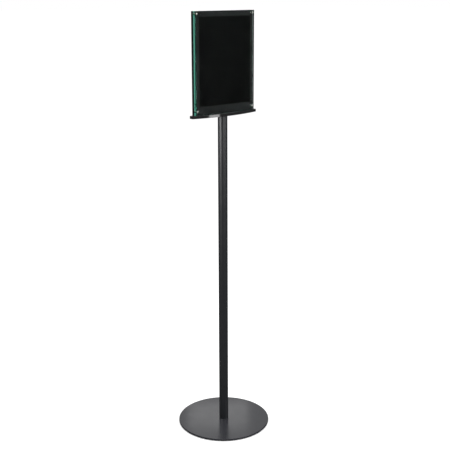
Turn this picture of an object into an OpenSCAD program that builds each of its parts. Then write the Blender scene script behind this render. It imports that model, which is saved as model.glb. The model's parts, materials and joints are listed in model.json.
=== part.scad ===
// Free-standing sign stand: a weighted round base, a tube post, and a two-block magnetic sign head.
// +Z is up, +X runs along the sign's width, and -Y is the side that the sign faces.
// The origin is on the floor, on the post's axis.

/* [Base] */
// Diameter of the round base disc
base_d = 320; // [280:5:380]
// Thickness of the base disc
base_t = 6; // [6:0.5:10]
// Width of the bevel round the disc's two rims
base_bevel = 0.8; // [0.4:0.1:1.5]
// Number of rubber feet
feet_count = 6; // [3:1:8]
// Diameter of a rubber foot
foot_d = 20; // [12:1:26]
// Height of a rubber foot
foot_h = 2; // [1.5:0.5:4]
// Distance from the base's rim to the middle of a foot
foot_inset = 18; // [14:1:30]

/* [Post] */
// Outside diameter of the post tube
post_d = 31.75; // [26:0.25:36]
// Wall thickness of the post tube
post_wall = 1.5; // [1.2:0.1:2]
// Length of the post tube
post_h = 1090; // [700:1:1400]
// Length of the plug in each end of the tube
plug_h = 28; // [24:1:40]

/* [Head plate] */
// Length of the plate, along the sign
plate_l = 273; // [255:1:330]
// Width of the plate's blunt ends
plate_end_w = 16; // [10:1:30]
// How far each long edge bows out past its two ends
plate_bow = 20; // [14:1:40]
// Thickness of the plate
plate_t = 9; // [8:0.5:12]
// Distance from the post's axis forward to the plate's middle line
head_forward = 6; // [4:0.5:8]

/* [Sign blocks] */
// Width of both blocks
block_w = 247; // [240:1:252]
// Height of both blocks
block_h = 323; // [315:1:345]
// Thickness of the clear front block
front_t = 12.7; // [12:0.1:16]
// Thickness of the black rear block
rear_t = 8; // [8:0.5:12]
// Gap between the blocks, where the sheet stands
sheet_gap = 1; // [0.8:0.1:2]
// Diameter of a magnet
magnet_d = 6.4; // [5:0.1:8]
// Length of a magnet in the front block
front_magnet_l = 11; // [6:0.5:11]
// Length of a magnet in the rear block
rear_magnet_l = 6.35; // [4:0.05:7]
// Distance from a block's side to a magnet's middle
magnet_side = 6; // [5:0.5:7]
// Distance from the blocks' top to the upper magnets
magnet_top = 8; // [6:0.5:10]
// Distance from the blocks' foot to the lower magnets
magnet_foot = 13.5; // [8:0.5:16]

/* [Sheet] */
// Width of the sign sheet
sheet_w = 216; // [200:1:216]
// Height of the sign sheet
sheet_h = 279.4; // [260:0.1:280]
// Thickness of the sign sheet
sheet_t = 0.4; // [0.3:0.1:0.4]
// Height of the sheet's lower edge above the blocks' foot
sheet_lift = 26; // [22:1:30]
// How far the loose sheet stands to the right of the blocks' middle
sheet_shift = 4; // [-5:0.5:5]

/* [Fasteners] */
// Thread diameter of the bolt in the base
base_bolt_d = 10; // [8:1:12]
// Length of the bolt in the base
base_bolt_l = 25; // [20:1:30]
// Thread diameter of the screw in the head
head_screw_d = 8; // [6:1:8]
// Length of the head screw below its head
head_screw_l = 25; // [20:1:30]
// Thread diameter of the screws that hold the rear block
block_screw_d = 4; // [3:0.5:4]
// Length of the screws that hold the rear block
block_screw_l = 16; // [14:1:20]
// Distance from the post's axis to each of the two outer block screws
block_screw_x = 95; // [80:1:105]
// Distance from the post's axis to each of the two inner block screws
block_screw_inner_x = 38; // [30:1:60]

/* [Hidden] */
// "all" draws everything; one name draws that node alone

$fn = 96;
// Overlap that lets a cut pass a face
eps = 1;
hex = 6;

// Heights, from the floor up
base_top = foot_h + base_t;
post_top = base_top + post_h;
thrust_t = 1;
// Running clearance between what turns with the head and what stays with the post
running = 0.05;
plate_foot = post_top + thrust_t + running;
plate_top = plate_foot + plate_t;
block_foot = plate_top;
block_top = block_foot + block_h;
front_clear = 0.3;

// Depths, along Y; the plate and the stack of blocks share one middle line
stack_t = front_t + sheet_gap + rear_t;
stack_front = -head_forward - stack_t / 2;
front_back = stack_front + front_t;
rear_front = front_back + sheet_gap;
rear_back = rear_front + rear_t;
rear_mid = (rear_front + rear_back) / 2;

// Magnets stand this far out of their block, and keep the gap open for the sheet
magnet_clear = 0.3;
magnet_proud = (sheet_gap - magnet_clear) / 2;
magnet_x = block_w / 2 - magnet_side;
// Room for glue round a magnet and behind it
glue = 0.05;

// Countersunk heads: 90 degree cones
base_head_d = 2 * base_bolt_d;
base_head_h = (base_head_d - base_bolt_d) / 2;
block_head_d = 2 * block_screw_d;
block_head_h = (block_head_d - block_screw_d) / 2;
block_screw_xs = [-block_screw_x, -block_screw_inner_x, block_screw_inner_x, block_screw_x];

// The head screw sits in a counterbore, with its spring washer on the bush
head_d = 13;
head_h = 2.8;
spring_d = 14;
spring_t = 1;
seat_h = 4;
counterbore_d = 19;
bush_d = 12;
bush_flange_d = 18;
bush_flange_t = 0.8;
spring_foot = plate_foot + seat_h + bush_flange_t + running;
head_foot = spring_foot + spring_t;

insert_d = 5.4;
insert_l = 9;
plug_d = post_d - 2 * post_wall;

// Outline of the head plate: two shallow arcs between two blunt ends
module plate_outline() {
    half_l = plate_l / 2;
    arc_r = (half_l * half_l + plate_bow * plate_bow) / (2 * plate_bow);
    arc_y = plate_end_w / 2 + plate_bow - arc_r;
    translate([0, -head_forward])
        intersection() {
            square([plate_l, plate_end_w + 2 * plate_bow], center = true);
            translate([0, arc_y]) circle(r = arc_r, $fn = 360);
            translate([0, -arc_y]) circle(r = arc_r, $fn = 360);
        }
}

// A cylinder magnet, or its hole, lying along Y with one end at y0
module magnet_rod(x, y0, z, length, d) {
    translate([x, y0, z])
        rotate([-90, 0, 0])
            cylinder(h = length, d = d, $fn = 48);
}

// The same rod at the four corners of a block
module at_corners(y0, length, d) {
    for (x = [-magnet_x, magnet_x], z = [block_foot + magnet_foot, block_top - magnet_top])
        magnet_rod(x, y0, z, length, d);
}

// A hexagon socket, cut down from z = 0
module socket(across, depth) {
    translate([0, 0, -depth])
        cylinder(h = depth + eps, d = across / cos(30), $fn = hex);
}

module base_disc() {
    color("dimgray")
        difference() {
            translate([0, 0, foot_h])
                rotate_extrude($fn = 180)
                    polygon([
                        [0, 0], [base_d / 2 - base_bevel, 0], [base_d / 2, base_bevel],
                        [base_d / 2, base_t - base_bevel], [base_d / 2 - base_bevel, base_t], [0, base_t]
                    ]);
            translate([0, 0, foot_h - eps])
                cylinder(h = base_t + 2 * eps, d = base_bolt_d);
            translate([0, 0, foot_h])
                cylinder(h = base_head_h, d1 = base_head_d, d2 = base_bolt_d);
        }
}

module base_feet() {
    color("black")
        for (i = [0 : feet_count - 1])
            rotate([0, 0, i * 360 / feet_count])
                translate([base_d / 2 - foot_inset, 0, 0])
                    cylinder(h = foot_h, d1 = foot_d - 1, d2 = foot_d);
}

module base_bolt() {
    color("silver")
        difference() {
            translate([0, 0, foot_h])
                union() {
                    cylinder(h = base_head_h, d1 = base_head_d, d2 = base_bolt_d);
                    cylinder(h = base_bolt_l, d = base_bolt_d);
                }
            translate([0, 0, foot_h])
                mirror([0, 0, 1]) socket(base_bolt_d * 0.6, base_bolt_d * 0.4);
        }
}

module post_tube() {
    color("#2b2c2e")
        translate([0, 0, base_top])
            difference() {
                cylinder(h = post_h, d = post_d);
                translate([0, 0, -eps]) cylinder(h = post_h + 2 * eps, d = plug_d);
            }
}

// A plug in one end of the tube, with a through thread
module post_plug(z, thread_d) {
    color("silver")
        translate([0, 0, z])
            difference() {
                cylinder(h = plug_h, d = plug_d);
                translate([0, 0, -eps]) cylinder(h = plug_h + 2 * eps, d = thread_d);
            }
}

module post_lower_plug() {
    post_plug(base_top, base_bolt_d);
}

module post_upper_plug() {
    post_plug(post_top - plug_h, head_screw_d);
}

module thrust_washer() {
    color("white")
        translate([0, 0, post_top])
            difference() {
                cylinder(h = thrust_t, d = post_d);
                translate([0, 0, -eps])
                    cylinder(h = thrust_t + 2 * eps, d = head_screw_d);
            }
}

module head_plate() {
    color("#1b1b1d")
        difference() {
            translate([0, 0, plate_foot])
                linear_extrude(height = plate_t)
                    plate_outline();
            translate([0, 0, plate_foot - eps])
                cylinder(h = plate_t + 2 * eps, d = bush_d);
            translate([0, 0, plate_foot + seat_h])
                cylinder(h = plate_t, d = counterbore_d);
            for (x = block_screw_xs)
                translate([x, rear_mid, plate_foot]) {
                    translate([0, 0, -eps]) cylinder(h = plate_t + 2 * eps, d = block_screw_d, $fn = 48);
                    cylinder(h = block_head_h, d1 = block_head_d, d2 = block_screw_d, $fn = 48);
                }
        }
}

module head_bush() {
    color("silver")
        translate([0, 0, plate_foot])
            difference() {
                union() {
                    cylinder(h = seat_h + bush_flange_t, d = bush_d);
                    translate([0, 0, seat_h]) cylinder(h = bush_flange_t, d = bush_flange_d);
                }
                translate([0, 0, -eps])
                    cylinder(h = plate_t, d = head_screw_d + 2 * running);
            }
}

module head_screw() {
    color("silver")
        difference() {
            union() {
                translate([0, 0, head_foot]) cylinder(h = head_h, d = head_d);
                translate([0, 0, head_foot - head_screw_l])
                    cylinder(h = head_screw_l + eps, d = head_screw_d);
            }
            translate([0, 0, head_foot + head_h]) socket(5, 1.6);
        }
}

module spring_washer() {
    color("gray")
        translate([0, 0, spring_foot])
            difference() {
                cylinder(h = spring_t, d = spring_d);
                translate([0, 0, -eps]) cylinder(h = spring_t + 2 * eps, d = head_screw_d);
            }
}

module block_screws() {
    color("silver")
        for (x = block_screw_xs)
            translate([x, rear_mid, plate_foot])
                difference() {
                    union() {
                        cylinder(h = block_head_h, d1 = block_head_d, d2 = block_screw_d, $fn = 48);
                        cylinder(h = block_screw_l, d = block_screw_d, $fn = 48);
                    }
                    mirror([0, 0, 1]) socket(2.5, 1.6);
                }
}

module block_inserts() {
    color("goldenrod")
        for (x = block_screw_xs)
            translate([x, rear_mid, block_foot])
                difference() {
                    cylinder(h = insert_l, d = insert_d, $fn = 48);
                    translate([0, 0, -eps]) cylinder(h = insert_l + 2 * eps, d = block_screw_d, $fn = 48);
                }
}

module rear_block() {
    color("#151517")
        difference() {
            translate([-block_w / 2, rear_front, block_foot]) cube([block_w, rear_t, block_h]);
            at_corners(rear_front - eps, rear_magnet_l - magnet_proud + glue + eps, magnet_d + 2 * glue);
            for (x = block_screw_xs)
                translate([x, rear_mid, block_foot - eps])
                    cylinder(h = insert_l + eps, d = insert_d, $fn = 48);
        }
}

module rear_magnets() {
    color("silver")
        at_corners(rear_front - magnet_proud, rear_magnet_l, magnet_d);
}

module sign_sheet() {
    color("black")
        translate([sheet_shift - sheet_w / 2,
                   front_back + (sheet_gap - sheet_t) / 2,
                   block_foot + sheet_lift])
            cube([sheet_w, sheet_t, sheet_h]);
}

module front_block() {
    hole_l = front_magnet_l - magnet_proud + glue;
    color("#5fae9a", 0.45)
        difference() {
            translate([-block_w / 2, stack_front, block_foot + front_clear])
                cube([block_w, front_t, block_h - front_clear]);
            at_corners(front_back - hole_l, hole_l + eps, magnet_d + 2 * glue);
        }
}

module front_magnets() {
    color("silver")
        at_corners(front_back + magnet_proud - front_magnet_l, front_magnet_l, magnet_d);
}

base_disc();
base_feet();
base_bolt();
post_tube();
post_lower_plug();
post_upper_plug();
thrust_washer();
head_plate();
head_bush();
head_screw();
spring_washer();
block_screws();
block_inserts();
rear_block();
rear_magnets();
sign_sheet();
front_block();
front_magnets();
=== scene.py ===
"""Looks of the sign stand: its camera, studio, materials and detailed pieces.

Each piece stands for a CAD node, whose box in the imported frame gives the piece's place and size.
All lengths are in metres.
"""
import json
import math

import bmesh
import bpy
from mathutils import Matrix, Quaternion, Vector
from mathutils.geometry import tessellate_polygon


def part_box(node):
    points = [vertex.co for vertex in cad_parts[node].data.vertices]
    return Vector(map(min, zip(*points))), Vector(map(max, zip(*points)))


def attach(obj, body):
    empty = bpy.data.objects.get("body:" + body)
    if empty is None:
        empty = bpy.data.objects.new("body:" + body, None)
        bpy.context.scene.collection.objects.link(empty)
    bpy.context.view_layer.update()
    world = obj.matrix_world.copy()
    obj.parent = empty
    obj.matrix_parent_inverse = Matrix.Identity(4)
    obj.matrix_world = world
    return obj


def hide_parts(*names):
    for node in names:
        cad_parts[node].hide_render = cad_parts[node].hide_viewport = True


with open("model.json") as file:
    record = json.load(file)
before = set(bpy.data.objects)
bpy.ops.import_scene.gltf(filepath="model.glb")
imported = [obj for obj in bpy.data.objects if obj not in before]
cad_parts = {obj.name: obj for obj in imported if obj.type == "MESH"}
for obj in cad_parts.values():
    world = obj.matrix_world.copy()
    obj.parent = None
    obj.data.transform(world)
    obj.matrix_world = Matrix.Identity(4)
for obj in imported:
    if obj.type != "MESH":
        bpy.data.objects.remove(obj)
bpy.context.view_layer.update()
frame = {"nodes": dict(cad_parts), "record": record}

MM = 0.001

# ---------------------------------------------------------------- camera

CAMERA_TURN = 41.06         # degrees from square on, towards the sign's left side
CAMERA_DISTANCE = 2.8265    # level, from the post
CAMERA_HEIGHT = 1.4938
CAMERA_AIM = 0.137          # degrees that the lens points to the right of the post
CAMERA_PITCH = 15.21        # degrees down
CAMERA_ROLL = 0.2           # degrees about the line of sight
SENSOR = 36                 # in millimetres, as Blender has it
LENS = 69.19                # in millimetres


def level(turn, length=1.0):
    """A level vector from the post, turned that many degrees left of square on to the sign."""
    angle = math.radians(turn)
    return Vector((-math.sin(angle) * length, -math.cos(angle) * length, 0))


def upright(height):
    """A vector straight up."""
    return Vector((0, 0, height))


def new_object(name, data):
    """A new object in the scene."""
    made = bpy.data.objects.new(name, data)
    bpy.context.scene.collection.objects.link(made)
    return made


def aim(made, direction, roll=0.0):
    """Turns a camera or a light to look along a direction, rolled about it by so many degrees."""
    turned = direction.to_track_quat("-Z", "Y")
    made.rotation_mode = "QUATERNION"
    made.rotation_quaternion = Quaternion(direction, math.radians(roll)) @ turned


def make_camera():
    """The camera at the photograph's viewing angle."""
    camera = new_object("camera", bpy.data.cameras.new("camera"))
    camera.data.sensor_width = SENSOR
    camera.data.lens = LENS
    camera.location = level(CAMERA_TURN, CAMERA_DISTANCE) + upright(CAMERA_HEIGHT)
    pitch = math.radians(CAMERA_PITCH)
    sight = -level(CAMERA_TURN + CAMERA_AIM) * math.cos(pitch) - upright(math.sin(pitch))
    aim(camera, sight, CAMERA_ROLL)
    bpy.context.scene.camera = camera


# ---------------------------------------------------------------- studio

def compass(turn, lift):
    """A direction from the post: degrees to the left of the camera, and degrees up."""
    angle = math.radians(lift)
    return level(CAMERA_TURN + turn) * math.cos(angle) + upright(math.sin(angle))


WHITE = (1, 1, 1, 1)
BACKDROP = 1.0      # how bright the white surround looks
AMBIENT = 1.08      # how much light comes from all round
ROOM_DARK = 0.025   # how bright the mirrored room is away from its patches
ROOM_PATCHES = (
    {"direction": compass(180, 0), "inner": 12, "outer": 40, "strength": 0.4},
    {"direction": compass(0, 90), "inner": 20, "outer": 85, "strength": 0.6},
)
FLOOR_COLOUR = (0.96, 0.96, 0.96, 1)
FLOOR_REACH = 60    # to each side
BOUNCES = 32        # enough for light to run along inside the clear block


def add_node(tree, kind, **values):
    """A new shader node, with its inputs or its settings by name."""
    made = tree.nodes.new("ShaderNode" + kind)
    for name, value in values.items():
        if hasattr(made, name):
            setattr(made, name, value)
        else:
            made.inputs[name.replace("_", " ")].default_value = value
    return made


def mix(tree, factor, first, second):
    """The first shader, or the second one where factor is 1."""
    mixed = add_node(tree, "MixShader")
    for number, output in enumerate((factor, first, second)):
        tree.links.new(output, mixed.inputs[number])
    return mixed.outputs[0]


def softbox(name, turn, distance, height, size, power, aim_height, only=None):
    """A rectangular light, so many degrees to the left of the camera, facing the post.

    With only, it shows as a highlight on that one piece and lights nothing else.
    """
    data = bpy.data.lights.new(name, "AREA")
    data.shape = "RECTANGLE"
    data.size, data.size_y = size
    data.energy = power
    light = new_object(name, data)
    light.location = level(CAMERA_TURN + turn, distance) + upright(height)
    aim(light, upright(aim_height) - light.location)
    light.visible_camera = False
    if only:
        lit = bpy.data.collections.new(name + "_lights")
        lit.objects.link(only)
        light.light_linking.receiver_collection = lit
        light.visible_diffuse = False


def make_lights(post, base):
    """Two lights on everything, two more on the post and two more on the base disc."""
    softbox("right_softbox", turn=-65.4, distance=2.2, height=1.45,
            size=(0.44, 1.6), power=16, aim_height=1.1)
    softbox("top_softbox", turn=0, distance=0.1, height=3.2,
            size=(2.4, 2.4), power=40, aim_height=0)
    softbox("post_left_softbox", turn=54, distance=1.9, height=1.5,
            size=(1.6, 1.6), power=76, aim_height=1.1, only=post)
    softbox("post_right_softbox", turn=-29, distance=2.2, height=1.5,
            size=(0.95, 1.6), power=24, aim_height=1.1, only=post)
    softbox("base_softbox", turn=177, distance=0.45, height=0.235,
            size=(0.25, 0.12), power=0.1, aim_height=0.235, only=base)
    softbox("base_wide_softbox", turn=180, distance=1.6, height=0.85,
            size=(1.4, 1.0), power=0.7, aim_height=0, only=base)


def make_world():
    """The white surround, the ambient light and the dim room.

    White shows behind everything, and straight through what is clear. The room, with its glowing
    patches, is what the stand mirrors. Diffuse surfaces get even light from all round.
    """
    world = bpy.data.worlds.new("studio")
    bpy.context.scene.world = world
    world.use_nodes = True
    world.cycles.sampling_method = "NONE"
    tree = world.node_tree
    tree.nodes.clear()
    link = tree.links.new
    place = add_node(tree, "TexCoord")

    def glow(total, direction, inner, outer, strength):
        """total, and a patch: full out to inner degrees from direction, and gone by outer."""
        facing = add_node(tree, "VectorMath", operation="DOT_PRODUCT")
        facing.inputs[1].default_value = direction
        link(place.outputs["Generated"], facing.inputs[0])
        fade = add_node(tree, "MapRange", interpolation_type="SMOOTHSTEP", To_Max=strength,
                        From_Min=math.cos(math.radians(outer)),
                        From_Max=math.cos(math.radians(inner)))
        link(facing.outputs["Value"], fade.inputs["Value"])
        added = add_node(tree, "Math", operation="ADD")
        link(fade.outputs["Result"], added.inputs[0])
        if total is None:
            added.inputs[1].default_value = ROOM_DARK
        else:
            link(total, added.inputs[1])
        return added.outputs[0]

    glowing = None
    for patch in ROOM_PATCHES:
        glowing = glow(glowing, **patch)
    room = add_node(tree, "Background", Color=WHITE)
    link(glowing, room.inputs["Strength"])
    ambient = add_node(tree, "Background", Color=WHITE, Strength=AMBIENT)
    backdrop = add_node(tree, "Background", Color=WHITE, Strength=BACKDROP)

    ray = add_node(tree, "LightPath")
    bounced = add_node(tree, "Math", operation="ADD", use_clamp=True)
    link(ray.outputs["Glossy Depth"], bounced.inputs[0])
    link(ray.outputs["Diffuse Depth"], bounced.inputs[1])
    lit = mix(tree, ray.outputs["Diffuse Depth"], room.outputs[0], ambient.outputs[0])
    seen = mix(tree, bounced.outputs[0], backdrop.outputs[0], lit)
    link(seen, add_node(tree, "OutputWorld").inputs[0])


def make_floor():
    """A plain pale floor, which can be seen through from below, and which nothing mirrors."""
    reach = FLOOR_REACH
    corners = [(-reach, -reach, 0), (reach, -reach, 0), (reach, reach, 0), (-reach, reach, 0)]
    mesh = bpy.data.meshes.new("floor")
    mesh.from_pydata(corners, [], [(0, 1, 2, 3)])
    floor = new_object("floor", mesh)
    mat = bpy.data.materials.new("floor")
    mat.use_nodes = True
    tree = mat.node_tree
    below = add_node(tree, "NewGeometry").outputs["Backfacing"]
    pale = add_node(tree, "BsdfDiffuse", Color=FLOOR_COLOUR)
    clear = add_node(tree, "BsdfTransparent")
    open_below = mix(tree, below, pale.outputs[0], clear.outputs[0])
    tree.links.new(open_below, tree.nodes["Material Output"].inputs["Surface"])
    mesh.materials.append(mat)
    floor.visible_glossy = False
    floor.visible_transmission = False


# ---------------------------------------------------------------- materials

NOISE_SPAN = (0.35, 0.65)           # where most of a noise's values lie
ACRYLIC_IOR = 1.49
CLEAR_IOR = 1.505
ABSORBED = (0.1, 0.874, 0.724, 1)   # the tint that the clear acrylic's depth gives to light
ABSORB_DENSITY = 5.0


class Finish:
    """A material with one Principled shader, and short calls that add to its nodes."""

    def __init__(self, name, colour, roughness, **values):
        self.mat = bpy.data.materials.new(name)
        self.mat.use_nodes = True
        self.tree = self.mat.node_tree
        self.shader = self.tree.nodes["Principled BSDF"]
        self.place = None
        self.bumps = []
        self.set("Base Color", (*colour, 1))
        self.set("Roughness", roughness)
        for key, value in values.items():
            self.set(key.replace("_", " "), value)

    def set(self, socket, value):
        self.shader.inputs[socket].default_value = value

    def add(self, kind, **values):
        return add_node(self.tree, kind, **values)

    def link(self, output, target):
        self.tree.links.new(output, target)

    def where(self, stretch, turn):
        """Places in the stand's own metres, stretched and turned."""
        if self.place is None:
            self.place = self.add("TexCoord")
        mapping = self.add("Mapping", Scale=stretch, Rotation=turn)
        self.link(self.place.outputs["Object"], mapping.inputs["Vector"])
        return mapping.outputs["Vector"]

    def noise(self, size, detail=2.0, stretch=(1, 1, 1), turn=(0, 0, 0)):
        """Noise whose grain is about that size."""
        texture = self.add("TexNoise", Scale=1 / size, Detail=detail)
        self.link(self.where(stretch, turn), texture.inputs["Vector"])
        return texture.outputs["Fac"]

    def vary_roughness(self, value, low, high):
        """Carries a noise to roughnesses from low to high."""
        start, end = NOISE_SPAN
        made = self.add("MapRange", From_Min=start, From_Max=end, To_Min=low, To_Max=high)
        self.link(value, made.inputs["Value"])
        self.link(made.outputs["Result"], self.shader.inputs["Roughness"])

    def vary_colour(self, value, low, high):
        """Carries a noise to colours from low to high."""
        ramp = self.add("ValToRGB")
        for element, position, colour in zip(ramp.color_ramp.elements, NOISE_SPAN, (low, high)):
            element.position = position
            element.color = (*colour, 1)
        self.link(value, ramp.inputs["Fac"])
        self.link(ramp.outputs["Color"], self.shader.inputs["Base Color"])

    def bump(self, value, depth, strength):
        """Relief of that depth, on top of what is there."""
        made = self.add("Bump", Strength=strength, Distance=depth)
        self.link(value, made.inputs["Height"])
        if self.bumps:
            self.link(self.bumps[-1].outputs["Normal"], made.inputs["Normal"])
        self.bumps.append(made)
        self.link(made.outputs["Normal"], self.shader.inputs["Normal"])

    def absorb(self):
        """The clear acrylic's green, which comes from its depth."""
        depth = self.add("VolumeAbsorption", Color=ABSORBED, Density=ABSORB_DENSITY)
        self.link(depth.outputs[0], self.tree.nodes["Material Output"].inputs["Volume"])


def scaled(colour, share):
    return tuple(channel * share for channel in colour)


def powder_coat(name, colour, roughness):
    """Satin powder coat: a fine grain, a shallow orange peel and a sheen that varies a little."""
    made = Finish(name, colour, roughness)
    grain = made.noise(0.5 * MM, detail=3)
    made.vary_colour(grain, scaled(colour, 0.8), scaled(colour, 1.25))
    made.vary_roughness(made.noise(45 * MM, detail=4), roughness - 0.015, roughness + 0.02)
    made.bump(grain, depth=0.012 * MM, strength=0.5)
    made.bump(made.noise(3.5 * MM), depth=0.03 * MM, strength=0.6)
    return made.mat


def black_acrylic(name, colour, roughness):
    """Polished black cast acrylic, with a faint haze and hairline scratches."""
    made = Finish(name, colour, roughness, IOR=ACRYLIC_IOR)
    made.vary_roughness(made.noise(30 * MM, detail=5), roughness - 0.02, roughness + 0.04)
    scratches = made.noise(0.4 * MM, stretch=(1, 1, 0.02), turn=(0.3, 0.2, 0.1))
    made.bump(scratches, depth=0.001 * MM, strength=0.3)
    made.bump(made.noise(60 * MM, detail=1), depth=0.05 * MM, strength=0.3)
    made.vary_colour(made.noise(12 * MM, detail=5), scaled(colour, 0.96), scaled(colour, 1.04))
    return made.mat


def clear_acrylic():
    """The clear block's polished faces, hardly hazed by wiping."""
    made = Finish("clear_acrylic", (1, 1, 1), 0.0, IOR=CLEAR_IOR, Transmission_Weight=1.0)
    made.vary_roughness(made.noise(50 * MM, detail=5), 0.0, 0.02)
    made.absorb()
    return made.mat


def acrylic_edge():
    """The clear block's polished edges, which show the depth of green behind them."""
    made = Finish("clear_acrylic_edge", (0.75, 0.97, 0.9), 0.03,
                  IOR=CLEAR_IOR, Transmission_Weight=1.0)
    made.bump(made.noise(0.8 * MM, stretch=(1, 1, 0.04)), depth=0.004 * MM, strength=0.4)
    made.absorb()
    return made.mat


def black_card(name, colour, roughness):
    """Black printed card, with a fine fibre."""
    made = Finish(name, colour, roughness, Specular_IOR_Level=0.05)
    fibre = made.noise(0.25 * MM, detail=4, stretch=(1, 1, 0.35), turn=(0, 0.4, 0))
    made.vary_colour(fibre, scaled(colour, 0.75), scaled(colour, 1.3))
    made.vary_roughness(made.noise(20 * MM, detail=3), roughness - 0.04, roughness + 0.06)
    made.bump(fibre, depth=0.01 * MM, strength=0.4)
    return made.mat


def plated(name, low, high, grain, metallic=1.0):
    """A plated metal whose tint and sheen wander a little.

    low and high are the ends of its tint. The duller the plating, the lower metallic is.
    """
    roughness = 0.3
    made = Finish(name, low, roughness, Metallic=metallic)
    made.vary_colour(made.noise(9 * MM, detail=3), low, high)
    made.vary_roughness(made.noise(grain, detail=4), roughness - 0.06, roughness + 0.08)
    made.bump(made.noise(grain, detail=3), depth=0.004 * MM, strength=0.35)
    return made.mat


def moulded(name, colour, roughness, grain):
    """A moulded rubber or plastic with a fine matt grain."""
    made = Finish(name, colour, roughness)
    texture = made.noise(grain, detail=3)
    made.vary_colour(texture, scaled(colour, 0.8), scaled(colour, 1.25))
    made.vary_roughness(made.noise(6 * MM, detail=3), roughness - 0.06, roughness + 0.06)
    made.bump(texture, depth=0.03 * MM, strength=0.5)
    return made.mat


FACE, EDGE, BACK = range(3)     # the places in a slot's list of materials


def make_materials():
    """Each record slot's materials, in the order FACE, EDGE, BACK."""
    return {
        "base_coat": [powder_coat("base_coat", (0.02, 0.0205, 0.0245), roughness=0.22)],
        "post_coat": [powder_coat("post_coat", (0.0115, 0.0128, 0.015), roughness=0.33)],
        "rubber_feet": [
            moulded("rubber_feet", (0.02, 0.02, 0.02), roughness=0.7, grain=0.5 * MM)
        ],
        "zinc_steel": [
            plated("zinc_steel", (0.56, 0.58, 0.6), (0.66, 0.63, 0.55), grain=0.4 * MM)
        ],
        "nylon": [moulded("nylon", (0.03, 0.03, 0.03), roughness=0.5, grain=0.3 * MM)],
        # Three copies of one black acrylic that differ in brightness only: the face copy is
        # lighter, painted light, and the edge and back copies are darker, painted shade.
        "black_acrylic": [
            black_acrylic("black_acrylic", (0.036, 0.0352, 0.0362), roughness=0.07),
            black_acrylic("black_acrylic_edge_painted_shade", (0.012, 0.012, 0.0125), roughness=0.05),
            black_acrylic("black_acrylic_back_painted_shade", (0.004, 0.004, 0.0043), roughness=0.05),
        ],
        "insert_brass": [
            plated("insert_brass", (0.74, 0.55, 0.26), (0.82, 0.64, 0.34), grain=0.3 * MM)
        ],
        "magnet_nickel": [
            plated("magnet_nickel", (0.7, 0.68, 0.63), (0.76, 0.74, 0.7), grain=0.5 * MM,
                   metallic=0.68)
        ],
        "sheet_black": [black_card("sheet_black", (0.003, 0.003, 0.003), roughness=0.5)],
        "clear_acrylic": [clear_acrylic(), acrylic_edge()],
    }


# ---------------------------------------------------------------- outlines, rims and solids
#
# An outline is a function from an inset to a ring of points. A rim is a list of (inset, height),
# from a solid's lower face to its upper one. A hole's insets are negative where it widens.

SIDES = 96                  # of a round outline
ARC_STEPS = 48              # along each long side of the plate
LEAST_CORNER = 0.02 * MM    # the radius that a rounded corner keeps at any inset
THREAD_DEPTH = 0.613        # of the pitch
THREAD_STEPS = 6            # rings to each turn
NEAR_GRID = 0.01            # of a step: an end that near to a ring's height takes its place
KNURL_STEPS = 5
SHARP_ANGLE = 35            # degrees between faces, above which an edge is shaded sharp
LEVEL_WITHIN = 0.01 * MM    # how far a corner of a solid's underside may be off its height


def circle(radius, x=0.0, y=0.0, sides=SIDES):
    """An outline whose inset may itself change round the circle."""
    def points(inset):
        made = []
        for i in range(sides):
            turn = 2 * math.pi * i / sides
            reach = radius - (inset(turn) if callable(inset) else inset)
            made.append((x + reach * math.cos(turn), y + reach * math.sin(turn)))
        return made
    return points


def hexagon(across, x=0.0, y=0.0):
    """An outline that is that wide across its flats."""
    return circle(across / math.sqrt(3), x, y, sides=6)


def rectangle(low, high, corner, steps=3):
    """A rectangle between two corners, whose corners are rounded.

    Its inset may be a pair, along x and along y.
    """
    def points(inset):
        along, up = inset if isinstance(inset, tuple) else (inset, inset)
        radius = max(corner - max(along, up), LEAST_CORNER)
        made = []
        for quarter in range(4):
            right = quarter in (0, 3)
            upper = quarter in (0, 1)
            x = high[0] - along - radius if right else low[0] + along + radius
            y = high[1] - up - radius if upper else low[1] + up + radius
            for step in range(steps + 1):
                turn = math.pi / 2 * (quarter + step / steps)
                made.append((x + radius * math.cos(turn), y + radius * math.sin(turn)))
        return made
    return points


def bowed(length, end_width, bow, y, nick):
    """Two shallow arcs between two blunt ends whose corners are nicked off."""
    half = length / 2
    radius = (half * half + bow * bow) / (2 * bow)
    middle = radius - bow - end_width / 2

    def points(inset):
        reach = half - inset - nick
        arc = []
        for i in range(ARC_STEPS + 1):
            x = reach * math.cos(math.pi * i / ARC_STEPS)
            arc.append((x, math.sqrt((radius - inset) ** 2 - x * x) - middle))
        tip = arc[0][1] - nick
        upper = [(half - inset, tip)] + arc + [(inset - half, tip)]
        return [(px, y + py) for px, py in upper] + [(-px, y - py) for px, py in upper]
    return points


def raised(height, profile):
    """A rim made of a profile that starts at that height."""
    return [(inset, height + up) for inset, up in profile]


def rounded_foot(low, radius, steps=4):
    """The start of a rim, rounded where it meets the lower face."""
    turns = [math.pi / 2 * i / steps for i in range(steps + 1)]
    return raised(low, [(radius * (1 - math.sin(turn)), radius * (1 - math.cos(turn)))
                        for turn in turns])


def rounded(low, high, radius, steps=4):
    """A rim from a lower face to an upper one, rounded where it meets each."""
    lower = rounded_foot(low, radius, steps)
    return lower + [(inset, high - (height - low)) for inset, height in reversed(lower)]


def soft_hole(low, high, chamfer):
    """A rim through a hole, chamfered by that much at both faces."""
    return [(-chamfer, low), (0, low + chamfer), (0, high - chamfer), (-chamfer, high)]


def soft_pocket(face, bottom, chamfer):
    """A rim from a face to the bottom of a blind hole, chamfered by that much at the face."""
    inward = chamfer if bottom > face else -chamfer
    return [(-chamfer, face), (0, face + inward), (0, bottom)]


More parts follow.
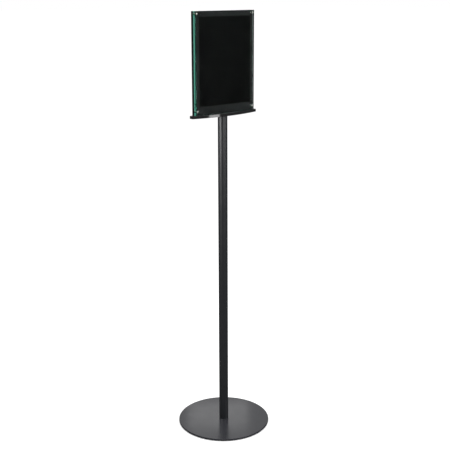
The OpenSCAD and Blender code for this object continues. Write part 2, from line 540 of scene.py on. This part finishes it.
def thread(low, high, pitch, tip=None):
    """A rim up a threaded length, cut in along a right-hand helix.

    Its rings stand on one grid of heights, so a screw and its hole mesh. The thread runs out at
    each end, but at a tip it is cut down to its root.
    """
    depth = pitch * THREAD_DEPTH
    grid = pitch / THREAD_STEPS
    ends = [end for end in (low, high) if end != tip]

    def cut(height):
        fade = min(1, *(abs(height - end) / pitch for end in ends))
        tapered = 0 if tip is None else max(0, 1 - abs(height - tip) / pitch)

        def inset(turn):
            flank = abs(2 * ((height / pitch - turn / (2 * math.pi)) % 1) - 1)
            return depth * max(tapered, fade * flank)
        return inset

    first = math.floor(low / grid + NEAR_GRID) + 1
    after = math.ceil(high / grid - NEAR_GRID)
    heights = [i * grid for i in range(first, after)]
    return [(cut(height), height) for height in (low, *heights, high)]


def knurl(low, high, inset, teeth, depth, lean=0.0):
    """A rim up a knurled band, whose teeth lean over by lean teeth from foot to top."""
    def cut(share):
        def ridge(turn):
            wave = math.cos(teeth * turn + 2 * math.pi * lean * share)
            return inset + depth * (0.5 - 0.5 * wave)
        return ridge
    shares = [i / KNURL_STEPS for i in range(KNURL_STEPS + 1)]
    return [(cut(share), low + (high - low) * share) for share in shares]


def along_z(x, y, height):
    """Stands a solid up: its outline is in X and Y, and its height runs along Z."""
    return (x, y, height)


def along_y(x, y, height):
    """Lays a solid on its back: its outline is in X and Z, and its height runs along Y."""
    return (x, height, y)


class Solid:
    """A piece in the making: closed shells, each a stack of rings between two flat faces."""

    def __init__(self, axis=along_z):
        self.bm = bmesh.new()
        self.axis = axis

    def rings(self, outline, rim, axis=None):
        place = axis or self.axis
        made = []
        for inset, height in rim:
            made.append([self.bm.verts.new(place(x, y, height)) for x, y in outline(inset)])
        return made

    def wall(self, rings, material=FACE):
        for lower, upper in zip(rings, rings[1:]):
            for i in range(len(lower)):
                j = (i + 1) % len(lower)
                face = self.bm.faces.new((lower[i], lower[j], upper[j], upper[i]))
                face.material_index = material

    def cap(self, outer, holes=(), material=FACE):
        if not holes:
            self.bm.faces.new(outer).material_index = material
            return
        loops = [outer, *holes]
        corners = [corner for loop in loops for corner in loop]
        for triangle in tessellate_polygon([[corner.co for corner in loop] for loop in loops]):
            self.bm.faces.new([corners[i] for i in triangle]).material_index = material

    def shell(self, outline, rim, holes=(), walls=FACE, top=FACE):
        """Adds a closed shell, with a material for its walls and one for its upper face.

        holes are (outline, rim, opens). A through hole's rim goes from the lower face to the
        upper, and opens is "both". A blind hole's rim starts at the face named by opens, "low" or
        "high", and ends at its bottom.
        """
        outer = self.rings(outline, rim)
        self.wall(outer, walls)
        low_holes = []
        high_holes = []
        for hole_outline, hole_rim, opens in holes:
            inner = self.rings(hole_outline, hole_rim)
            self.wall(inner)
            if opens in ("both", "low"):
                low_holes.append(inner[0])
            if opens in ("both", "high"):
                high_holes.append(inner[-1] if opens == "both" else inner[0])
            if opens != "both":
                self.cap(inner[-1])
        self.cap(outer[0], low_holes)
        self.cap(outer[-1], high_holes, top)
        return self

    def drill_foot(self, height, holes, material):
        """Makes blind holes (outline, rim), which go up from the flat underside at that height."""
        under = [face for face in self.bm.faces
                 if all(abs(vert.co.z - height) < LEVEL_WITHIN for vert in face.verts)]
        foot = max(under, key=lambda face: face.calc_area())
        corners = list(foot.verts)
        self.bm.faces.remove(foot)
        loops = []
        for outline, rim in holes:
            inner = self.rings(outline, rim, along_z)
            self.wall(inner)
            self.cap(inner[-1])
            loops.append(inner[0])
        self.cap(corners, loops, material)
        return self

    def finish(self, name, cad_node):
        """Makes the piece, which stands for that CAD node and moves as it does."""
        bmesh.ops.recalc_face_normals(self.bm, faces=self.bm.faces[:])
        mesh = bpy.data.meshes.new(name)
        self.bm.to_mesh(mesh)
        self.bm.free()
        for polygon in mesh.polygons:
            polygon.use_smooth = True
        mesh.set_sharp_from_angle(angle=math.radians(SHARP_ANGLE))
        for mat in MATERIALS[SLOT_OF[cad_node]]:
            mesh.materials.append(mat)
        piece = new_object(name, mesh)
        normals = piece.modifiers.new("normals", "WEIGHTED_NORMAL")
        normals.keep_sharp = True
        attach(piece, BODY_OF[cad_node])
        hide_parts(cad_node)
        return piece


# ---------------------------------------------------------------- sizes
#
# The numbers that a node's box can't give. Most repeat the CAD's; edges are Blender's own.

LIP = 0.2 * MM                      # the chamfer at most small edges

DISC_EDGE = 1.1 * MM
DISC_EDGE_STEPS = 5
DISC_SIDES = 288
FOOT_COUNT = 6
FOOT_D = 20 * MM
FOOT_START = -90                    # degrees, as level() has them
FOOT_PROFILE = ((1.3 * MM, 0), (0.7 * MM, 0.15 * MM), (0.5 * MM, 0.5 * MM))
DISH_D = 12 * MM
DISH_PROFILE = ((-0.5 * MM, 0), (0, 0.15 * MM), (0.2 * MM, 0.6 * MM))
BOLT_D = 10 * MM
BOLT_PITCH = 1.5 * MM
BOLT_HEAD_D = 20 * MM
BOLT_SOCKET = (6 * MM, 4 * MM)      # across flats, deep
BOLT_SIDES = 72
SINK_LAND = 0.05                    # of a countersunk head's extra width: its straight side

POST_WALL = 1.5 * MM
POST_EDGE = 0.3 * MM
POST_BORE_EDGE = 0.15 * MM
PLUG_EDGE = 0.4 * MM
THREAD_ROOM = 0.05 * MM             # round a screw, in its hole

WASHER_EDGE = 0.2 * MM
WASHER_BORE_EDGE = 0.1 * MM
WASHER_SIDES = 64
BUSH_FLANGE = 3 * MM                # how far it stands out
SPRING_EDGE = 0.12 * MM
SPRING_THICK = 0.8                  # of its height at rest
SPRING_SPLIT = 10                   # degrees
SPRING_STEPS = 90
HEAD_SCREW_D = 8 * MM
HEAD_SCREW_PITCH = 1.25 * MM
HEAD_SCREW_HEAD = (13 * MM, 2.8 * MM)       # across, high
HEAD_SCREW_SOCKET = (5 * MM, 1.6 * MM)      # across flats, deep
HEAD_SCREW_PLAIN = 1 * MM           # below the thrust washer, where its thread ends
HEAD_SCREW_TEETH = 48
HEAD_SCREW_SIDES = 4 * HEAD_SCREW_TEETH
HEAD_SCREW_TOOTH = 0.15 * MM
HEAD_SCREW_BAND = (0.3 * MM, 0.6 * MM)      # its knurl: up from the seat, down from the top
HEAD_SCREW_TOP_EDGE = 0.4 * MM

PLATE_END_WIDTH = 16 * MM
PLATE_NICK = 0.6 * MM
PLATE_EDGE = 0.5 * MM
PLATE_BORE_EDGE = 0.3 * MM
SEAT = (19 * MM, 4 * MM)            # the plate's round pocket: across, and its floor's height

SMALL_SIDES = 48                    # of the feet, block screws and magnets
BLOCK_SCREW_D = 4 * MM
BLOCK_SCREW_PITCH = 0.7 * MM
BLOCK_HEAD_D = 8 * MM
BLOCK_SOCKET = (2.5 * MM, 1.6 * MM)         # across flats, deep
BLOCK_SCREW_INNER = 38 * MM         # from the middle to the two inner screws
INSERT_D = 5.4 * MM
INSERT_TEETH = 20
INSERT_SIDES = 5 * INSERT_TEETH
INSERT_TOOTH = 0.2 * MM
INSERT_LEAN = 1.5                   # teeth, one way and then the other
INSERT_WAIST = 0.35 * MM
INSERT_LAND = 0.08                  # of its length, as are the next three
INSERT_LOWER_BAND = (0.12, 0.44)
INSERT_GROOVE = (0.48, 0.54)
INSERT_UPPER_BAND = (0.58, 0.9)

MAGNET_D = 6.4 * MM
MAGNET_GLUE = 0.05 * MM             # round a magnet, in its hole
MAGNET_EDGE = 0.35 * MM
REAR_ARRIS = 0.1 * MM
FRONT_ARRIS = 0.3 * MM
BACK_BEVEL = (0.9 * MM, 1.56 * MM)  # in from the clear block's sides, and forward from its back
FLAT_EDGE = 0.05 * MM               # a ring by the bevel, which keeps the sides' shading flat
SHEET_CORNER = 1.5 * MM
SHEET_CORNER_STEPS = 5
SHEET_EDGE = 0.08 * MM
SHEET_EDGE_STEPS = 2


# ---------------------------------------------------------------- pieces

def magnet_places(cad_node):
    """(x, z) of the four magnets in a block's corners."""
    low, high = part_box(cad_node)
    radius = MAGNET_D / 2
    columns = (low.x + radius, high.x - radius)
    rows = (low.z + radius, high.z - radius)
    return [(x, z) for x in columns for z in rows]


def magnet_holes(cad_node, face, bottom, opens):
    """A block's blind holes for those magnets."""
    rim = soft_pocket(face, bottom, LIP)
    return [(circle(MAGNET_D / 2 + MAGNET_GLUE, x, z, SMALL_SIDES), rim, opens)
            for x, z in magnet_places(cad_node)]


def block_screw_places():
    """(x, y) of the four screws that hold the rear block."""
    low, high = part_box("block_screws")
    outer = high.x - BLOCK_HEAD_D / 2
    columns = (-outer, -BLOCK_SCREW_INNER, BLOCK_SCREW_INNER, outer)
    return [(x, (low.y + high.y) / 2) for x in columns]


def socket(size, face, opens, x=0.0, y=0.0):
    """A hexagon socket of that (width across flats, depth), let into the face at that height."""
    across, depth = size
    bottom = face + depth if opens == "low" else face - depth
    return hexagon(across, x, y), soft_pocket(face, bottom, LIP), opens


def sink_hole(low, high, diameter, head_d, x=0.0, y=0.0, sides=SIDES):
    """A through hole that is countersunk from below."""
    sink = (head_d - diameter) / 2
    rim = [(-sink, low), (0, low + sink), (0, high)]
    return circle(diameter / 2, x, y, sides), rim, "both"


def countersunk(low, top, diameter, head_d, pitch):
    """A rim up a countersunk screw: a thin land, a 90 degree cone and a thread."""
    land = SINK_LAND * (head_d - diameter)
    widest = (head_d - diameter) / 2 - land
    neck = low + (head_d - diameter) / 2
    head = [(-widest, low), (-widest, low + land), (0, neck)]
    return head + thread(neck + land, top, pitch, tip=top)


def make_base():
    """The disc, its feet and its bolt."""
    low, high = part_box("base_disc")
    hole = sink_hole(low.z, high.z, BOLT_D, BOLT_HEAD_D)
    rim = rounded(low.z, high.z, DISC_EDGE, DISC_EDGE_STEPS)
    made = Solid().shell(circle(high.x, sides=DISC_SIDES), rim, [hole])
    base = made.finish("coated_base_disc", "base_disc")

    low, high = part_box("base_feet")
    rim = raised(low.z, FOOT_PROFILE) + [(0, high.z)]
    dish = raised(low.z, DISH_PROFILE)
    made = Solid()
    for i in range(FOOT_COUNT):
        place = level(FOOT_START + 360 * i / FOOT_COUNT, high.x - FOOT_D / 2)
        hollow = (circle(DISH_D / 2, place.x, place.y, SMALL_SIDES), dish, "low")
        made.shell(circle(FOOT_D / 2, place.x, place.y, SMALL_SIDES), rim, [hollow])
    made.finish("moulded_feet", "base_feet")

    low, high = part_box("base_bolt")
    rim = countersunk(low.z, high.z, BOLT_D, BOLT_HEAD_D, BOLT_PITCH)
    made = Solid()
    made.shell(circle(BOLT_D / 2, sides=BOLT_SIDES), rim, [socket(BOLT_SOCKET, low.z, "low")])
    made.finish("countersunk_base_bolt", "base_bolt")
    return base


def make_post():
    """The tube and the threaded plugs in its ends."""
    low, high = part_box("post_tube")
    bore = (circle(high.x - POST_WALL), soft_hole(low.z, high.z, POST_BORE_EDGE), "both")
    made = Solid().shell(circle(high.x), rounded(low.z, high.z, POST_EDGE), [bore])
    post = made.finish("coated_post", "post_tube")
    for cad_node, diameter, pitch in (
        ("post_lower_plug", BOLT_D, BOLT_PITCH),
        ("post_upper_plug", HEAD_SCREW_D, HEAD_SCREW_PITCH),
    ):
        low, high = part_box(cad_node)
        outline = circle(diameter / 2 + THREAD_ROOM, sides=BOLT_SIDES)
        bore = (outline, thread(low.z, high.z, pitch), "both")
        made = Solid().shell(circle(high.x), rounded(low.z, high.z, PLUG_EDGE), [bore])
        made.finish("threaded_" + cad_node, cad_node)
    return post


def make_washers():
    """The thrust washer, the bush and the spring washer round the head screw."""
    bore = HEAD_SCREW_D / 2 + THREAD_ROOM
    outline = circle(bore, sides=WASHER_SIDES)
    low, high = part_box("thrust_washer")
    hole = (outline, soft_hole(low.z, high.z, WASHER_BORE_EDGE), "both")
    made = Solid().shell(circle(high.x), rounded(low.z, high.z, WASHER_EDGE), [hole])
    made.finish("nylon_thrust_washer", "thrust_washer")

    low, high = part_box("head_bush")
    shank = low.z + SEAT[1]
    rim = [
        (LIP, low.z),
        (0, low.z + LIP),
        (0, shank),
        (-BUSH_FLANGE, shank),
        (-BUSH_FLANGE, high.z - LIP),
        (LIP - BUSH_FLANGE, high.z),
    ]
    hole = (outline, soft_hole(low.z, high.z, LIP), "both")
    made = Solid().shell(circle(high.x - BUSH_FLANGE), rim, [hole])
    made.finish("flanged_bush", "head_bush")

    low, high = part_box("spring_washer")
    wire = (high.z - low.z) * SPRING_THICK
    climb = high.z - low.z - wire
    split = math.radians(SPRING_SPLIT)
    made = Solid()
    rings = []
    for i in range(SPRING_STEPS + 1):
        turn = split / 2 + (2 * math.pi - split) * i / SPRING_STEPS
        foot = low.z + climb * i / SPRING_STEPS
        section = rectangle((bore, foot), (high.x, foot + wire), SPRING_EDGE, 1)(0)
        ring = [(r * math.cos(turn), r * math.sin(turn), z) for r, z in section]
        rings.append([made.bm.verts.new(place) for place in ring])
    made.wall(rings)
    made.cap(rings[0])
    made.cap(rings[-1])
    made.finish("split_spring_washer", "spring_washer")


def make_head_screw():
    """The low-head screw that the head turns on."""
    low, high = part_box("head_screw")
    head_d, head_h = HEAD_SCREW_HEAD
    over = (HEAD_SCREW_D - head_d) / 2
    seat = high.z - head_h
    thread_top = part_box("thrust_washer")[0].z - HEAD_SCREW_PLAIN
    band_foot, band_top = HEAD_SCREW_BAND
    rim = [
        *thread(low.z, thread_top, HEAD_SCREW_PITCH, tip=low.z),
        (0, seat),
        (over + LIP, seat),
        *knurl(seat + band_foot, high.z - band_top, over, HEAD_SCREW_TEETH, HEAD_SCREW_TOOTH),
        (over + HEAD_SCREW_TOP_EDGE, high.z),
    ]
    outline = circle(HEAD_SCREW_D / 2, sides=HEAD_SCREW_SIDES)
    made = Solid().shell(outline, rim, [socket(HEAD_SCREW_SOCKET, high.z, "high")])
    made.finish("knurled_head_screw", "head_screw")


def make_head_plate():
    """The bow-sided plate, with its stepped bore and its countersunk holes."""
    low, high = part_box("head_plate")
    wide, floor = SEAT
    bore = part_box("head_bush")[1].x - BUSH_FLANGE
    step = bore - wide / 2
    seat = low.z + floor
    lip = PLATE_BORE_EDGE
    stepped = [
        (-lip, low.z),
        (0, low.z + lip),
        (0, seat),
        (step, seat),
        (step, high.z - lip),
        (step - lip, high.z),
    ]
    holes = [(circle(bore), stepped, "both")]
    for x, y in block_screw_places():
        hole = sink_hole(low.z, high.z, BLOCK_SCREW_D, BLOCK_HEAD_D, x, y, SMALL_SIDES)
        holes.append(hole)
    bow = (high.y - low.y - PLATE_END_WIDTH) / 2
    outline = bowed(high.x - low.x, PLATE_END_WIDTH, bow, (low.y + high.y) / 2, PLATE_NICK)
    # The plate's bowed edges take the darker copy of the black acrylic, painted shade; its upper
    # and lower faces take the lighter copy, painted light.
    made = Solid().shell(outline, rounded(low.z, high.z, PLATE_EDGE), holes, walls=EDGE)
    made.finish("lens_head_plate", "head_plate")


def make_block_fixings():
    """The four screws up into the rear block, and the inserts that take them."""
    low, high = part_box("block_screws")
    rim = countersunk(low.z, high.z, BLOCK_SCREW_D, BLOCK_HEAD_D, BLOCK_SCREW_PITCH)
    made = Solid()
    for x, y in block_screw_places():
        hollow = socket(BLOCK_SOCKET, low.z, "low", x, y)
        made.shell(circle(BLOCK_SCREW_D / 2, x, y, SMALL_SIDES), rim, [hollow])
    made.finish("countersunk_block_screws", "block_screws")

    low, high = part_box("block_inserts")

    def up(share):
        return low.z + share * (high.z - low.z)

    def band(shares, lean):
        foot, top = shares
        return knurl(up(foot), up(top), 0, INSERT_TEETH, INSERT_TOOTH, lean)

    rim = [
        (LIP, low.z),
        (0, low.z + LIP),
        (0, up(INSERT_LAND)),
        *band(INSERT_LOWER_BAND, INSERT_LEAN),
        *[(INSERT_WAIST, up(share)) for share in INSERT_GROOVE],
        *band(INSERT_UPPER_BAND, -INSERT_LEAN),
        (INSERT_WAIST, high.z),
    ]
    bore_rim = thread(low.z, high.z, BLOCK_SCREW_PITCH)
    made = Solid()
    for x, y in block_screw_places():
        bore = (circle(BLOCK_SCREW_D / 2 + THREAD_ROOM, x, y, SMALL_SIDES), bore_rim, "both")
        made.shell(circle(INSERT_D / 2, x, y, INSERT_SIDES), rim, [bore])
    made.finish("knurled_inserts", "block_inserts")


def make_rear_block():
    """The black block, with holes for magnets in its face and for inserts in its lower edge."""
    low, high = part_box("rear_block")
    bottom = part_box("rear_magnets")[1].y + MAGNET_GLUE
    holes = magnet_holes("rear_magnets", low.y, bottom, "low")
    outline = rectangle((low.x, low.z), (high.x, high.z), REAR_ARRIS)
    made = Solid(along_y)
    # The rear block's sides, back and underside take the darkest copy of the black acrylic,
    # painted shade; its front face, seen through the clear block, takes the lighter copy, painted
    # light.
    made.shell(outline, rounded(low.y, high.y, REAR_ARRIS), holes, walls=BACK, top=BACK)
    insert_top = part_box("block_inserts")[1].z + MAGNET_GLUE
    foot_rim = [(0, low.z), (0, insert_top)]
    foot_holes = [(circle(INSERT_D / 2, x, y, SMALL_SIDES), foot_rim)
                  for x, y in block_screw_places()]
    made.drill_foot(low.z, foot_holes, BACK).finish("black_rear_block", "rear_block")


def make_sheet():
    """The black card between the blocks."""
    low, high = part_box("sign_sheet")
    outline = rectangle((low.x, low.z), (high.x, high.z), SHEET_CORNER, SHEET_CORNER_STEPS)
    rim = rounded(low.y, high.y, SHEET_EDGE, SHEET_EDGE_STEPS)
    made = Solid(along_y).shell(outline, rim)
    made.finish("card_sheet", "sign_sheet")


def make_front_block():
    """The clear block, bevelled along the side edges of its back."""
    low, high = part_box("front_block")
    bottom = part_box("front_magnets")[0].y - MAGNET_GLUE
    holes = magnet_holes("front_magnets", high.y, bottom, "high")
    inward, forward = BACK_BEVEL
    rim = rounded_foot(low.y, FRONT_ARRIS) + [
        (0, high.y - forward - FLAT_EDGE),
        (0, high.y - forward),
        ((inward, 0), high.y),
    ]
    outline = rectangle((low.x, low.z), (high.x, high.z), FRONT_ARRIS)
    made = Solid(along_y).shell(outline, rim, holes, walls=EDGE)
    made.finish("clear_front_block", "front_block")


def make_magnets(name, cad_node):
    """The four magnets of one block."""
    low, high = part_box(cad_node)
    rim = rounded(low.y, high.y, MAGNET_EDGE)
    made = Solid(along_y)
    for x, z in magnet_places(cad_node):
        made.shell(circle(MAGNET_D / 2, x, z, SMALL_SIDES), rim)
    made.finish(name, cad_node)


# ---------------------------------------------------------------- the scene

record = frame["record"]
SLOT_OF = {part["node"]: part["material_slot"] for part in record["subparts"]}
BODY_OF = {node: body for body, nodes in record["behaviour"]["bodies"].items() for node in nodes}
MATERIALS = make_materials()

for node_name, cad_piece in frame["nodes"].items():
    cad_piece.data.materials.clear()
    cad_piece.data.materials.append(MATERIALS[SLOT_OF[node_name]][FACE])

base_disc = make_base()
post_tube = make_post()
make_washers()
make_head_screw()
make_head_plate()
make_block_fixings()
make_rear_block()
make_sheet()
make_front_block()
make_magnets("nickel_front_magnets", "front_magnets")
make_magnets("nickel_rear_magnets", "rear_magnets")

make_camera()
make_lights(post_tube, base_disc)
make_world()
make_floor()
scene = bpy.context.scene
scene.view_settings.view_transform = "Standard"
scene.cycles.max_bounces = BOUNCES
scene.cycles.glossy_bounces = BOUNCES
scene.cycles.transmission_bounces = BOUNCES
